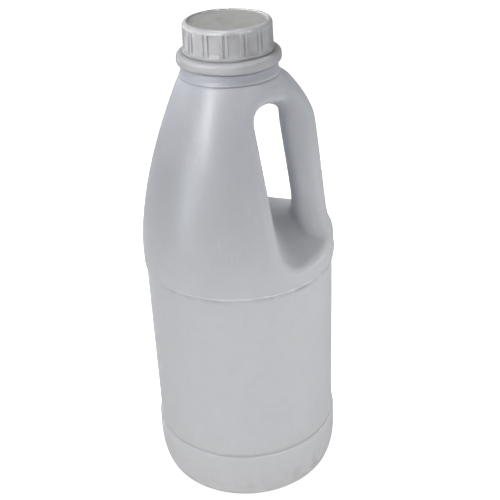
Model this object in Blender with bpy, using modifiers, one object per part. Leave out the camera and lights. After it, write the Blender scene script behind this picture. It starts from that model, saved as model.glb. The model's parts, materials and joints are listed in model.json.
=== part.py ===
"""Calf feeding bottle: a blow-moulded two litre bottle with a moulded-in hollow handle,
a captive ring round the neck, and a screw cap with its sealing liner.

Metres, +Z up. The bottle's axis is the Z axis, it stands on z = 0 and its handle is at +X.
"""

import bpy
import bmesh
from math import atan, cos, pi, sin, tau

MM = 0.001

# Turned body
BODY_RADIUS = 57.0 * MM
BAND_RADIUS = 58.3 * MM
SHOULDER_RADIUS = 58.0 * MM
SHOULDER_BASE = 158.0 * MM
SHOULDER_TOP = 264.0 * MM
SHOULDER_DROP = 30.0 * MM
SHOULDER_POWER = 1.65
BEAD_BASE = 149.5 * MM
BAND_TOP = 32.5 * MM
HEEL_HEIGHT = 20.0 * MM
HEEL_DEPTH = 5.5 * MM
FOOT_INNER = 44.0 * MM
PUSH_UP = 5.0 * MM
WALL = 1.4 * MM

# Neck, its thread and the bead that holds the ring on
RIM_HEIGHT = 288.6 * MM
RIM_CHAMFER = 0.6 * MM
NECK_RADIUS = 20.5 * MM
COLLAR_RADIUS = 22.0 * MM
MOUTH_RADIUS = 18.5 * MM
BEAD_RADIUS = 23.3 * MM
BEAD_UNDERSIDE = 274.4 * MM
BEAD_TOP = 276.0 * MM
SKIRT_RADIUS = 27.2 * MM
SKIRT_BASE = 264.6 * MM
LEDGE_HEIGHT = 269.3 * MM
THREAD_RADIUS = 21.8 * MM
THREAD_PITCH = 4.0 * MM
THREAD_START = 278.9 * MM
NECK_THREAD_TURNS = 2.0
THREAD_FOOT = 1.5 * MM
THREAD_CREST = 0.7 * MM
THREAD_ROOT_OVERLAP = 0.4 * MM

# Finger pocket behind the handle
POCKET_HALF_WIDTH = 62.0 * MM
POCKET_REACH = 75.0 * MM
POCKET_FLOOR = 170.0 * MM
POCKET_FLOOR_FALL = 12.5 * MM
POCKET_CEILING = 243.3 * MM
POCKET_CEILING_RISE = 21.0 * MM
POCKET_WALL_TOP = 10.2 * MM
POCKET_WALL_SLOPE = 0.14
POCKET_WALL_DRAFT = 6.5 * MM
POCKET_ARCH_RADIUS = 9.0 * MM
POCKET_CORNER_INNER = 3.0 * MM
POCKET_CORNER_OUTER = 20.0 * MM

# Handle: inner point (x, z), outer point (x, z) and half width of each section, top to foot
HANDLE_SECTIONS = (
    ((12.0, 244.5), (12.0, 264.0), 11.0),
    ((22.6, 243.6), (30.6, 264.2), 11.8),
    ((27.0, 241.2), (40.0, 252.6), 12.2),
    ((28.5, 236.8), (44.9, 242.2), 12.2),
    ((28.7, 230.0), (47.4, 230.6), 12.2),
    ((34.6, 184.0), (52.6, 184.0), 12.6),
    ((34.6, 175.0), (53.6, 175.0), 16.5),
    ((34.0, 167.0), (55.2, 167.0), 22.5),
    ((33.0, 160.5), (57.2, 160.5), 27.5),
    ((33.0, 150.5), (57.4, 150.5), 30.0),
)
HANDLE_FULLNESS = 2.4
HANDLE_RING_POINTS = 20

# Neck ring
RING_BASE = 269.8 * MM
RING_TOP = 276.2 * MM
RING_RADIUS = 29.3 * MM
RING_EDGE = 2.2 * MM
RING_BORE = 22.5 * MM
RING_RECESS_RADIUS = 24.0 * MM
RING_RECESS_BASE = 274.0 * MM

# Screw cap and liner
CAP_BASE = 276.6 * MM
CAP_TOP = 292.9 * MM
CAP_BAND_RADIUS = 25.3 * MM
CAP_BAND_TOP = 278.6 * MM
CAP_PANEL_BASE_RADIUS = 24.7 * MM
CAP_PANEL_TOP_RADIUS = 24.2 * MM
CAP_EDGE = 2.0 * MM
CAP_BORE = 22.3 * MM
CAP_UNDERSIDE = 290.2 * MM
CAP_DISC_TOP = 291.8 * MM
CAP_DISC_RADIUS = 22.0 * MM
CAP_THREAD_CREST = 21.0 * MM
CAP_THREAD_TURNS = 1.5
RIB_PAIRS = 14
RIB_PAIR_SPREAD = 0.119
RIB_WIDTH = 1.7 * MM
RIB_HEIGHT = 0.55 * MM
RIB_TOP = 290.6 * MM
LINER_BASE = 288.9 * MM
LINER_TOP = 289.9 * MM
LINER_RADIUS = 21.8 * MM

BODY_STEPS = 48
ARC_POINTS = 5
MERGE = 0.00001


# ---------------------------------------------------------------- helpers

def clear_scene():
    for old in list(bpy.data.objects):
        bpy.data.objects.remove(old, do_unlink=True)


def new_collection(name):
    collection = bpy.data.collections.new(name)
    bpy.context.scene.collection.children.link(collection)
    return collection


def plastic(name, colour, roughness):
    material = bpy.data.materials.new(name)
    material.use_nodes = True
    shader = material.node_tree.nodes["Principled BSDF"]
    shader.inputs["Base Color"].default_value = (*colour, 1.0)
    shader.inputs["Roughness"].default_value = roughness
    shader.inputs["Metallic"].default_value = 0.0
    return material


def add_object(name, mesh, collection):
    piece = bpy.data.objects.new(name, mesh)
    collection.objects.link(piece)
    return piece


def arc(centre, radii, start, end, count=ARC_POINTS):
    """Points of an elliptical arc in the XZ plane, between two angles from +X."""
    points = []
    for step in range(count):
        angle = start + (end - start) * step / (count - 1)
        points.append((centre[0] + radii[0] * cos(angle), centre[1] + radii[1] * sin(angle)))
    return points


def turned(name, profile, collection, closed=False, steps=BODY_STEPS):
    """Revolve a profile of (radius, z) points, listed down the outer side."""
    mesh = bpy.data.meshes.new(name)
    count = len(profile)
    edges = [(index, index + 1) for index in range(count - 1)]
    if closed:
        edges.append((count - 1, 0))
    mesh.from_pydata([(radius, 0.0, height) for radius, height in profile], edges, [])
    piece = add_object(name, mesh, collection)
    screw = piece.modifiers.new("revolve", "SCREW")
    screw.axis = "Z"
    screw.angle = tau
    screw.steps = steps
    screw.render_steps = steps
    screw.use_merge_vertices = True
    screw.merge_threshold = MERGE
    screw.use_smooth_shade = True
    return piece


def helix(name, section, start_height, turns, collection):
    """Sweep a closed section of (radius, z) points up a right-hand helix and close its ends."""
    mesh = bpy.data.meshes.new(name + "_section")
    count = len(section)
    corners = [(radius, 0.0, start_height + height) for radius, height in section]
    mesh.from_pydata(corners, [(index, (index + 1) % count) for index in range(count)], [])
    guide = add_object(name + "_guide", mesh, collection)
    screw = guide.modifiers.new("helix", "SCREW")
    screw.axis = "Z"
    screw.angle = tau * turns
    screw.screw_offset = THREAD_PITCH * turns
    screw.steps = int(BODY_STEPS * turns)
    screw.render_steps = screw.steps
    evaluated = guide.evaluated_get(bpy.context.evaluated_depsgraph_get())
    swept = bpy.data.meshes.new_from_object(evaluated)
    bpy.data.objects.remove(guide, do_unlink=True)
    form = bmesh.new()
    form.from_mesh(swept)
    open_edges = [edge for edge in form.edges if edge.is_boundary]
    bmesh.ops.holes_fill(form, edges=open_edges, sides=count)
    bmesh.ops.recalc_face_normals(form, faces=form.faces)
    form.to_mesh(swept)
    form.free()
    return add_object(name, swept, collection)


def lofted(name, rings, collection):
    """A closed solid through rings of equal point counts, with flat ends."""
    form = bmesh.new()
    rows = [[form.verts.new(point) for point in ring] for ring in rings]
    count = len(rings[0])
    for row, following in zip(rows, rows[1:]):
        for index in range(count):
            after = (index + 1) % count
            form.faces.new((row[index], row[after], following[after], following[index]))
    form.faces.new(rows[0])
    form.faces.new(rows[-1])
    bmesh.ops.recalc_face_normals(form, faces=form.faces)
    mesh = bpy.data.meshes.new(name)
    form.to_mesh(mesh)
    form.free()
    return add_object(name, mesh, collection)


def boolean(piece, other, operation):
    modifier = piece.modifiers.new(operation.lower() + "_" + other.name, "BOOLEAN")
    modifier.operation = operation
    modifier.solver = "EXACT"
    modifier.object = other


def hide_guide(guide):
    guide.hide_render = True
    guide.display_type = "WIRE"


# ---------------------------------------------------------------- bottle

def shoulder_points(offset, count=12):
    """The shoulder's curve from the neck down to the bead, moved inwards by offset."""
    points = []
    for step in range(count):
        share = 1.0 - step / (count - 1)
        radius = SHOULDER_RADIUS - SHOULDER_DROP * share ** SHOULDER_POWER
        height = SHOULDER_BASE + (SHOULDER_TOP - SHOULDER_BASE) * share
        points.append((radius - offset, height - offset * share))
    return points


def bottle_profile():
    points = [
        (0.0, RIM_HEIGHT),
        (NECK_RADIUS - RIM_CHAMFER, RIM_HEIGHT),
        (NECK_RADIUS, RIM_HEIGHT - RIM_CHAMFER),
        (NECK_RADIUS, BEAD_TOP + 0.3 * MM),
        (NECK_RADIUS + 0.6 * MM, BEAD_TOP),
        (BEAD_RADIUS, BEAD_UNDERSIDE + 0.5 * MM),
        (BEAD_RADIUS, BEAD_UNDERSIDE),
        (COLLAR_RADIUS, BEAD_UNDERSIDE),
        (COLLAR_RADIUS, LEDGE_HEIGHT),
        (SKIRT_RADIUS, LEDGE_HEIGHT),
        (SKIRT_RADIUS, SKIRT_BASE),
    ]
    points += shoulder_points(0.0)
    points += [
        (SHOULDER_RADIUS, BEAD_BASE),
        (SHOULDER_RADIUS - 0.3 * MM, BEAD_BASE - 0.6 * MM),
        (BODY_RADIUS - 0.4 * MM, BEAD_BASE - 1.1 * MM),
        (BODY_RADIUS - 0.4 * MM, BEAD_BASE - 2.5 * MM),
        (BODY_RADIUS, BEAD_BASE - 9.5 * MM),
        (BODY_RADIUS, BAND_TOP + 2.0 * MM),
        (BAND_RADIUS - 0.2 * MM, BAND_TOP),
    ]
    heel_centre = (BAND_RADIUS - HEEL_DEPTH, HEEL_HEIGHT)
    points += arc(heel_centre, (HEEL_DEPTH, HEEL_HEIGHT), 0.0, -pi / 2)
    points += [(FOOT_INNER, 0.0)]
    points += arc((0.0, 0.0), (FOOT_INNER - 1.0 * MM, PUSH_UP), 0.12 * pi, pi / 2)
    points[-1] = (0.0, PUSH_UP)
    return points


def inside_profile():
    points = [
        (0.0, RIM_HEIGHT + 10.0 * MM),
        (MOUTH_RADIUS, RIM_HEIGHT + 10.0 * MM),
        (MOUTH_RADIUS, LEDGE_HEIGHT - 2.0 * MM),
        (SKIRT_RADIUS - WALL, LEDGE_HEIGHT - 2.0 * MM),
        (SKIRT_RADIUS - WALL, SKIRT_BASE),
    ]
    points += shoulder_points(WALL)
    points += [
        (SHOULDER_RADIUS - WALL, BEAD_BASE - 0.4 * MM),
        (BODY_RADIUS - WALL, BEAD_BASE - 2.5 * MM),
        (BODY_RADIUS - WALL, BAND_TOP + 2.0 * MM),
        (BAND_RADIUS - WALL, BAND_TOP),
    ]
    heel_centre = (BAND_RADIUS - HEEL_DEPTH - WALL, HEEL_HEIGHT)
    points += arc(heel_centre, (HEEL_DEPTH, HEEL_HEIGHT - WALL), 0.0, -pi / 2)
    points += [(FOOT_INNER, WALL)]
    points += arc((0.0, WALL), (FOOT_INNER - 1.0 * MM, PUSH_UP), 0.12 * pi, pi / 2)
    points[-1] = (0.0, PUSH_UP + WALL)
    return points


def pocket_outline(side, offset):
    """The pocket's edge in the plane y = side, grown outwards by offset."""
    share = abs(side) / POCKET_HALF_WIDTH
    floor = POCKET_FLOOR - POCKET_FLOOR_FALL * share - offset
    ceiling = POCKET_CEILING + POCKET_CEILING_RISE * share + offset
    wall = POCKET_WALL_TOP - POCKET_WALL_DRAFT * share - offset
    corner = POCKET_CORNER_INNER + (POCKET_CORNER_OUTER - POCKET_CORNER_INNER) * share
    arch = POCKET_ARCH_RADIUS + offset
    lean = atan(POCKET_WALL_SLOPE)
    wall_height = ceiling - arch - (floor + corner)
    corner_x = wall + wall_height * POCKET_WALL_SLOPE + corner * cos(lean)
    outline = [(POCKET_REACH, floor)]
    outline += arc((corner_x, floor + corner), (corner, corner), 1.5 * pi, pi + lean)
    outline += arc((wall + arch, ceiling - arch), (arch, arch), pi, pi / 2)
    outline += [(POCKET_REACH, ceiling)]
    return [(x, side, z) for x, z in outline]


def pocket(name, offset, collection):
    sides = (-POCKET_HALF_WIDTH, 0.0, POCKET_HALF_WIDTH)
    return lofted(name, [pocket_outline(side, offset) for side in sides], collection)


def handle_ring(inner, outer, half_width, offset):
    """A superellipse between an inner and an outer point of the handle."""
    centre_x = (inner[0] + outer[0]) / 2 * MM
    centre_z = (inner[1] + outer[1]) / 2 * MM
    across_x = (outer[0] - inner[0]) / 2 * MM
    across_z = (outer[1] - inner[1]) / 2 * MM
    half_depth = (across_x ** 2 + across_z ** 2) ** 0.5
    shrink = (half_depth - offset) / half_depth
    power = 2.0 / HANDLE_FULLNESS
    ring = []
    for index in range(HANDLE_RING_POINTS):
        angle = tau * index / HANDLE_RING_POINTS
        outward = abs(cos(angle)) ** power * (1 if cos(angle) > 0 else -1) * shrink
        sideways = abs(sin(angle)) ** power * (1 if sin(angle) > 0 else -1)
        y = (half_width * MM - offset) * sideways
        ring.append((centre_x + across_x * outward, y, centre_z + across_z * outward))
    return ring


def handle(name, offset, collection):
    rings = []
    for inner, outer, half_width in HANDLE_SECTIONS:
        rings.append(handle_ring(inner, outer, half_width, offset))
    return lofted(name, rings, collection)


def thread_section(root, crest):
    """A trapezoid tooth from its root radius to its crest radius."""
    foot = THREAD_FOOT / 2
    tip = THREAD_CREST / 2
    return [(root, -foot), (crest, -tip), (crest, tip), (root, foot)]


def make_bottle(parts, guides):
    bottle = turned("bottle", bottle_profile(), parts)
    boolean(bottle, pocket("pocket_outside", 0.0, guides), "DIFFERENCE")
    boolean(bottle, handle("handle_outside", 0.0, guides), "UNION")
    tooth = thread_section(NECK_RADIUS - THREAD_ROOT_OVERLAP, THREAD_RADIUS)
    thread = helix("neck_thread", tooth, THREAD_START, NECK_THREAD_TURNS, guides)
    boolean(bottle, thread, "UNION")
    inside = turned("inside", inside_profile(), guides)
    boolean(inside, pocket("pocket_inside", WALL, guides), "DIFFERENCE")
    boolean(inside, handle("handle_inside", WALL, guides), "UNION")
    boolean(bottle, inside, "DIFFERENCE")
    bottle.data.materials.append(plastic("natural_hdpe", (0.72, 0.74, 0.78), 0.38))
    return bottle


# ---------------------------------------------------------------- neck ring, liner and cap

def make_neck_ring(parts):
    edge = RING_EDGE
    profile = [(RING_RECESS_RADIUS, RING_TOP)]
    top_centre = (RING_RADIUS - edge, RING_TOP - edge)
    profile += arc(top_centre, (edge, edge), pi / 2, 0.0, 4)
    base_centre = (RING_RADIUS - edge, RING_BASE + edge)
    profile += arc(base_centre, (edge, edge), 0.0, -pi / 2, 4)
    profile += [
        (RING_BORE, RING_BASE),
        (RING_BORE, RING_RECESS_BASE),
        (RING_RECESS_RADIUS, RING_RECESS_BASE),
    ]
    ring = turned("neck_ring", profile, parts, closed=True)
    ring.data.materials.append(plastic("white_ring", (0.78, 0.79, 0.80), 0.35))
    return ring


def make_liner(parts):
    profile = [
        (0.0, LINER_TOP),
        (LINER_RADIUS, LINER_TOP),
        (LINER_RADIUS, LINER_BASE),
        (0.0, LINER_BASE),
    ]
    liner = turned("cap_liner", profile, parts, steps=32)
    liner.data.materials.append(plastic("liner_foam", (0.80, 0.80, 0.78), 0.7))
    return liner


def cap_profile():
    edge = CAP_EDGE
    return [
        (0.0, CAP_DISC_TOP),
        (CAP_DISC_RADIUS, CAP_DISC_TOP),
        (CAP_DISC_RADIUS + 0.4 * MM, CAP_TOP),
        (CAP_PANEL_TOP_RADIUS - edge * 0.6, CAP_TOP),
        (CAP_PANEL_TOP_RADIUS - edge * 0.15, CAP_TOP - edge * 0.4),
        (CAP_PANEL_TOP_RADIUS, CAP_TOP - edge),
        (CAP_PANEL_BASE_RADIUS, CAP_BAND_TOP + 0.4 * MM),
        (CAP_BAND_RADIUS, CAP_BAND_TOP),
        (CAP_BAND_RADIUS, CAP_BASE),
        (CAP_BORE, CAP_BASE),
        (CAP_BORE, CAP_UNDERSIDE),
        (0.0, CAP_UNDERSIDE),
    ]


def cap_ribs(guides):
    """Pairs of upright grip ribs that follow the skirt's taper, in one mesh."""
    form = bmesh.new()
    root = 1.0 * MM
    for pair in range(RIB_PAIRS):
        for side in (-0.5, 0.5):
            angle = tau * pair / RIB_PAIRS + side * RIB_PAIR_SPREAD
            cube = bmesh.ops.create_cube(form, size=1.0)["verts"]
            for corner in cube:
                upper = corner.co.z > 0
                radius = CAP_PANEL_TOP_RADIUS if upper else CAP_PANEL_BASE_RADIUS
                reach = radius + (RIB_HEIGHT if corner.co.x > 0 else -root)
                across = RIB_WIDTH * corner.co.y
                height = RIB_TOP if upper else CAP_BAND_TOP - 0.5 * MM
                x = reach * cos(angle) - across * sin(angle)
                y = reach * sin(angle) + across * cos(angle)
                corner.co = (x, y, height)
    mesh = bpy.data.meshes.new("cap_ribs")
    form.to_mesh(mesh)
    form.free()
    return add_object("cap_ribs", mesh, guides)


def make_cap(parts, guides):
    cap = turned("screw_cap", cap_profile(), parts, steps=56)
    boolean(cap, cap_ribs(guides), "UNION")
    tooth = thread_section(CAP_BORE + THREAD_ROOT_OVERLAP, CAP_THREAD_CREST)
    start = THREAD_START + THREAD_PITCH / 2
    thread = helix("cap_thread", tooth, start, CAP_THREAD_TURNS, guides)
    boolean(cap, thread, "UNION")
    cap.data.materials.append(plastic("white_cap", (0.80, 0.80, 0.80), 0.4))
    return cap


def main():
    clear_scene()
    parts = new_collection("calf_feeding_bottle")
    guides = new_collection("cutters")
    make_bottle(parts, guides)
    make_neck_ring(parts)
    make_liner(parts)
    make_cap(parts, guides)
    for guide in guides.objects:
        hide_guide(guide)


main()
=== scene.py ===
import json
from math import atan, cos, pi, radians, sin, tau

import bpy
from mathutils import Matrix, Vector

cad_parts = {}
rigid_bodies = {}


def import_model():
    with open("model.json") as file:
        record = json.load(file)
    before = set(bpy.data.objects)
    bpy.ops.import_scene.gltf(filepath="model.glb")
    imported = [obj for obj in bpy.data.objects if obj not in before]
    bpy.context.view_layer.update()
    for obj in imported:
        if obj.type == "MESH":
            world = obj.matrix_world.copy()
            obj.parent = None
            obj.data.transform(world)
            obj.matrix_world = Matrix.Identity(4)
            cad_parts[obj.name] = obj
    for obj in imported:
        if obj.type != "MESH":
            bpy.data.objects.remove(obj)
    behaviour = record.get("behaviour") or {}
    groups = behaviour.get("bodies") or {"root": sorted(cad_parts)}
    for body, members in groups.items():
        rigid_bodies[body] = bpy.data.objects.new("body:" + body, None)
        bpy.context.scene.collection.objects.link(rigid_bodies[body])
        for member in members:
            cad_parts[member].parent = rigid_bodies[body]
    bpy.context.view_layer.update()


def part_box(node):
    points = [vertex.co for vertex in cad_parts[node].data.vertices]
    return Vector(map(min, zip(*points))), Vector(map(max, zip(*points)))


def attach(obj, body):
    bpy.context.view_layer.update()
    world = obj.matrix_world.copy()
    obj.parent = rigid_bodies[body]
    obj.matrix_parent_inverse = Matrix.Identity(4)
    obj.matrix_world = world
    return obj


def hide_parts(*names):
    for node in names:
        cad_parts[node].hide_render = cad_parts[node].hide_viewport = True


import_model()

bl_info = {
    "name": "Calf Feeding Bottle",
    "version": (1, 0, 0),
    "blender": (4, 5, 0),
    "location": "View3D > Sidebar > Calf Bottle",
    "description": "Models the shell, neck ring, cap and liner of a two litre calf feeding bottle",
    "category": "Add Mesh",
}

MM = 0.001
BOTTLE_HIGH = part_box("bottle")[1]
RING_LOW, RING_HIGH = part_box("neck_ring")
CAP_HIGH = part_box("screw_cap")[1]
LINER_LOW, LINER_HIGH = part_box("cap_liner")
WELD = 0.000002


# ------------------------------------------------------------ settings

class BottleShape(bpy.types.PropertyGroup):
    """Sizes of the blow-moulded shell."""

    band_radius: bpy.props.FloatProperty(
        name="Band radius", description="Outer radius of the wide band round the foot",
        default=BOTTLE_HIGH.x, unit="LENGTH")
    bead_radius: bpy.props.FloatProperty(
        name="Bead radius", description="Radius of the shoulder where it meets the bead",
        default=BOTTLE_HIGH.x - 0.3 * MM, unit="LENGTH")
    body_radius: bpy.props.FloatProperty(
        name="Body radius", description="Radius of the straight wall between the bands",
        default=BOTTLE_HIGH.x - 1.3 * MM, unit="LENGTH")
    rim_height: bpy.props.FloatProperty(
        name="Rim height", description="Height of the mouth's rim above the foot",
        default=BOTTLE_HIGH.z, unit="LENGTH")
    shoulder_top: bpy.props.FloatProperty(
        name="Shoulder top", description="Height where the shoulder turns in under the neck ring",
        default=BOTTLE_HIGH.z - 24.4 * MM, unit="LENGTH")
    shoulder_base: bpy.props.FloatProperty(
        name="Shoulder base", description="Height where the shoulder's curve starts",
        default=158.0 * MM, unit="LENGTH")
    shoulder_drop: bpy.props.FloatProperty(
        name="Shoulder drop", description="How much the shoulder narrows up to its top",
        default=30.0 * MM, unit="LENGTH")
    shoulder_power: bpy.props.FloatProperty(
        name="Shoulder fullness", description="Exponent of the shoulder's curve", default=1.65)
    wall: bpy.props.FloatProperty(
        name="Wall", description="Thickness of the blown wall", default=1.4 * MM, unit="LENGTH")
    voxel: bpy.props.FloatProperty(
        name="Voxel", description="Grid used to blend the handle into the shoulder",
        default=1.05 * MM, unit="LENGTH")
    around: bpy.props.IntProperty(
        name="Segments", description="Segments round the turned parts of the shell", default=192)


class ClosureShape(bpy.types.PropertyGroup):
    """Sizes of the neck ring, the cap and its liner."""

    ring_radius: bpy.props.FloatProperty(
        name="Ring radius", description="Outer radius of the neck ring",
        default=RING_HIGH.x, unit="LENGTH")
    cap_radius: bpy.props.FloatProperty(
        name="Cap radius", description="Outer radius of the cap's plain lower band",
        default=CAP_HIGH.x, unit="LENGTH")
    cap_height: bpy.props.FloatProperty(
        name="Cap height", description="Height of the cap", unit="LENGTH",
        default=CAP_HIGH.z - RING_HIGH.z - 0.1 * MM)
    rib_units: bpy.props.IntProperty(
        name="Rib pairs", description="Pairs of grip ribs round the cap", default=14)
    panel_depth: bpy.props.FloatProperty(
        name="Panel depth", description="Depth of the flats between the ribs",
        default=0.8 * MM, unit="LENGTH")
    thread_pitch: bpy.props.FloatProperty(
        name="Thread pitch", description="Rise of the thread in one turn",
        default=4.0 * MM, unit="LENGTH")


class BottleFinish(bpy.types.PropertyGroup):
    """Colours of the plastics."""

    shell: bpy.props.FloatVectorProperty(
        name="Shell", description="Colour of the natural polyethylene", subtype="COLOR",
        default=(0.628, 0.642, 0.686), min=0.0, max=1.0)
    cap: bpy.props.FloatVectorProperty(
        name="Cap", description="Colour of the cap's polypropylene", subtype="COLOR",
        default=(0.355, 0.360, 0.368), min=0.0, max=1.0)
    ring: bpy.props.FloatVectorProperty(
        name="Ring", description="Colour of the neck ring", subtype="COLOR",
        default=(0.338, 0.343, 0.356), min=0.0, max=1.0)
    liner: bpy.props.FloatVectorProperty(
        name="Liner", description="Colour of the foam liner", subtype="COLOR",
        default=(0.60, 0.60, 0.585), min=0.0, max=1.0)
    grime: bpy.props.FloatVectorProperty(
        name="Grime", description="Colour of dried milk and yard dirt", subtype="COLOR",
        default=(0.14, 0.13, 0.115), min=0.0, max=1.0)


class StudioSettings(bpy.types.PropertyGroup):
    """Camera and light."""

    camera_place: bpy.props.FloatVectorProperty(
        name="Camera place", description="Where the camera stands", subtype="TRANSLATION",
        default=(-69.4 * MM, -493.7 * MM, 425.1 * MM))
    heading: bpy.props.FloatProperty(
        name="Heading", description="Direction the camera looks in, from +Y towards +X",
        default=radians(8.783), subtype="ANGLE")
    pitch: bpy.props.FloatProperty(
        name="Pitch", description="How far the camera looks down", default=radians(28.95),
        subtype="ANGLE")
    roll: bpy.props.FloatProperty(
        name="Roll", description="Turn of the camera about its view axis", default=radians(-2.613),
        subtype="ANGLE")
    lens: bpy.props.FloatProperty(
        name="Lens", description="Focal length on a 36 mm wide sensor, in millimetres",
        default=66.59)
    sky: bpy.props.FloatProperty(
        name="Sky", description="Strength of the even light all round", default=0.86)


# ------------------------------------------------------------ modelling helpers

def object_mode():
    if bpy.context.object and bpy.context.object.mode != "OBJECT":
        bpy.ops.object.mode_set(mode="OBJECT")


def deselect():
    object_mode()
    bpy.ops.object.select_all(action="DESELECT")


def pick(*pieces):
    """Selects these pieces only; the last one becomes active."""
    deselect()
    for piece in pieces:
        piece.select_set(True)
    bpy.context.view_layer.objects.active = pieces[-1]


def edit(piece, mode="VERT"):
    pick(piece)
    bpy.ops.object.mode_set(mode="EDIT")
    bpy.ops.mesh.select_mode(type=mode)


def settle(piece):
    """Leaves the piece's object at the origin, with its place in its mesh."""
    pick(piece)
    bpy.ops.object.transform_apply(location=True, rotation=True, scale=True)
    return piece


def select_where(piece, kind, test):
    """Selects vertices, edges or polygons of a piece in object mode by a test of each."""
    mesh = piece.data
    for items in (mesh.vertices, mesh.edges, mesh.polygons):
        items.foreach_set("select", [False] * len(items))
    for item in getattr(mesh, kind):
        item.select = test(item)


def apply_modifier(piece, kind, **settings):
    pick(piece)
    modifier = piece.modifiers.new(kind.lower(), kind)
    for name, value in settings.items():
        setattr(modifier, name, value)
    bpy.ops.object.modifier_apply(modifier=modifier.name)


def trace(name, points):
    """Draws a chain of edges from point to point, by extruding one vertex."""
    deselect()
    bpy.ops.mesh.primitive_plane_add(size=MM, location=points[0])
    piece = bpy.context.object
    piece.name = name
    edit(piece)
    bpy.ops.mesh.select_all(action="SELECT")
    bpy.ops.mesh.merge(type="CENTER")
    for start, end in zip(points, points[1:]):
        step = [b - a for a, b in zip(start, end)]
        bpy.ops.mesh.extrude_vertices_move(TRANSFORM_OT_translate={"value": step})
    object_mode()
    return settle(piece)


def turn(name, profile, segments):
    """Spins a profile of (radius, height) points into a turned surface."""
    piece = trace(name, [(radius, 0.0, height) for radius, height in profile])
    edit(piece)
    bpy.ops.mesh.select_all(action="SELECT")
    bpy.ops.mesh.spin(steps=segments, angle=tau, center=(0, 0, 0), axis=(0, 0, 1),
                      use_auto_merge=True)
    bpy.ops.mesh.select_all(action="SELECT")
    bpy.ops.mesh.remove_doubles(threshold=WELD)
    bpy.ops.mesh.normals_make_consistent(inside=False)
    object_mode()
    return piece


def placed_ring(points):
    """A circle primitive whose vertices are moved to the given points."""
    deselect()
    bpy.ops.mesh.primitive_circle_add(vertices=len(points), radius=MM)
    ring = bpy.context.object
    ring.data.vertices.foreach_set("co", [value for point in points for value in point])
    return ring


def bridge(name, rings):
    """Bridges rings of equal point counts into one closed form, its ends filled."""
    loops = [placed_ring(points) for points in rings]
    pick(*loops)
    bpy.ops.object.join()
    piece = bpy.context.object
    piece.name = name
    edit(piece, "EDGE")
    bpy.ops.mesh.select_all(action="SELECT")
    bpy.ops.mesh.bridge_edge_loops(type="SINGLE")
    bpy.ops.mesh.select_all(action="DESELECT")
    bpy.ops.mesh.select_non_manifold()
    bpy.ops.mesh.fill_holes(sides=0)
    bpy.ops.mesh.select_all(action="SELECT")
    bpy.ops.mesh.normals_make_consistent(inside=False)
    object_mode()
    return settle(piece)


def arc(centre, radii, start, end, count):
    """Points of an elliptical arc, from one angle to another."""
    points = []
    for step in range(count):
        angle = start + (end - start) * step / (count - 1)
        points.append((centre[0] + radii[0] * cos(angle), centre[1] + radii[1] * sin(angle)))
    return points


def ramp(value, low, high):
    """A smooth step from 0 at low to 1 at high."""
    share = min(max((value - low) / (high - low), 0.0), 1.0)
    return share * share * (3.0 - 2.0 * share)


def soften(piece, weight, rounds):
    """Relaxes the surface where weight(vertex place) is above zero."""
    group = piece.vertex_groups.new(name="soften")
    for vertex in piece.data.vertices:
        amount = weight(vertex.co)
        if amount > 0.01:
            group.add([vertex.index], amount, "REPLACE")
    apply_modifier(piece, "SMOOTH", factor=0.5, iterations=rounds, vertex_group="soften")
    piece.vertex_groups.clear()


def finish_piece(piece, name, body, nodes, material, angle=40.0):
    piece.name = name
    piece.data.name = name
    pick(piece)
    bpy.ops.object.shade_smooth_by_angle(angle=radians(angle))
    piece.data.materials.clear()
    piece.data.materials.append(material)
    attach(piece, body)
    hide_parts(*nodes)


# ------------------------------------------------------------ bottle shell

POCKET_HALF_WIDTH = 62.0 * MM
POCKET_REACH = 75.0 * MM
POCKET_FLOOR = 170.0 * MM
POCKET_FLOOR_FALL = 12.5 * MM
POCKET_CEILING = 243.3 * MM
POCKET_CEILING_RISE = 21.0 * MM
POCKET_WALL = 10.2 * MM
POCKET_WALL_SLOPE = 0.14
POCKET_WALL_DRAFT = 6.5 * MM
POCKET_ARCH = 9.0 * MM
POCKET_CORNERS = (3.0 * MM, 20.0 * MM)

# inner point (x, z), outer point (x, z) and half width of each handle section, in mm
HANDLE_SECTIONS = (
    ((12.0, 244.5), (12.0, 264.0), 11.0),
    ((22.0, 243.6), (29.8, 262.2), 12.6),
    ((26.0, 241.0), (39.6, 251.6), 13.0),
    ((27.6, 236.5), (45.3, 241.6), 13.0),
    ((27.8, 230.0), (48.3, 230.6), 13.0),
    ((33.7, 184.0), (53.5, 184.0), 13.6),
    ((34.0, 175.0), (54.3, 175.0), 17.5),
    ((34.0, 167.0), (55.8, 167.0), 23.5),
    ((33.0, 160.5), (57.4, 160.5), 28.5),
    ((33.0, 150.5), (57.4, 150.5), 30.5),
)
HANDLE_FULLNESS = 2.4
HANDLE_POINTS = 40
STEPS_PER_SECTION = 4
SEAM_HEIGHT = 154.0 * MM
SEAM_GAP = 0.3 * MM
BLOCK_VOXEL = 1.2 * MM
INNER_WALL_SHARE = 0.14

BEAD_EDGE = 0.5 * MM
FOOT_BAND_TOP = 36.0 * MM
FOOT_HEIGHT = 21.0 * MM
FOOT_EDGE = 5.5 * MM
STANDING_RING = (45.0 * MM, 48.0 * MM)
PUSH_UP = (44.0 * MM, 5.0 * MM)

SKIRT_RADIUS = 27.3 * MM
COLLAR_RADIUS = 22.0 * MM
RETAINER_RADIUS = 23.3 * MM
NECK_RADIUS = 20.5 * MM
MOUTH_RADIUS = 18.5 * MM
THREAD_ROOT = 20.2 * MM
THREAD_CREST = 21.8 * MM
THREAD_START = BOTTLE_HIGH.z - 9.7 * MM
THREAD_TURNS = 2.0
STEPS_PER_TURN = 96


def envelope(shape, height):
    """Radius of the plain turned body at a height in the shoulder."""
    share = (height - shape.shoulder_base) / (shape.shoulder_top - shape.shoulder_base)
    share = max(share, 0.0)
    return shape.bead_radius - shape.shoulder_drop * share ** shape.shoulder_power


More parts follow.
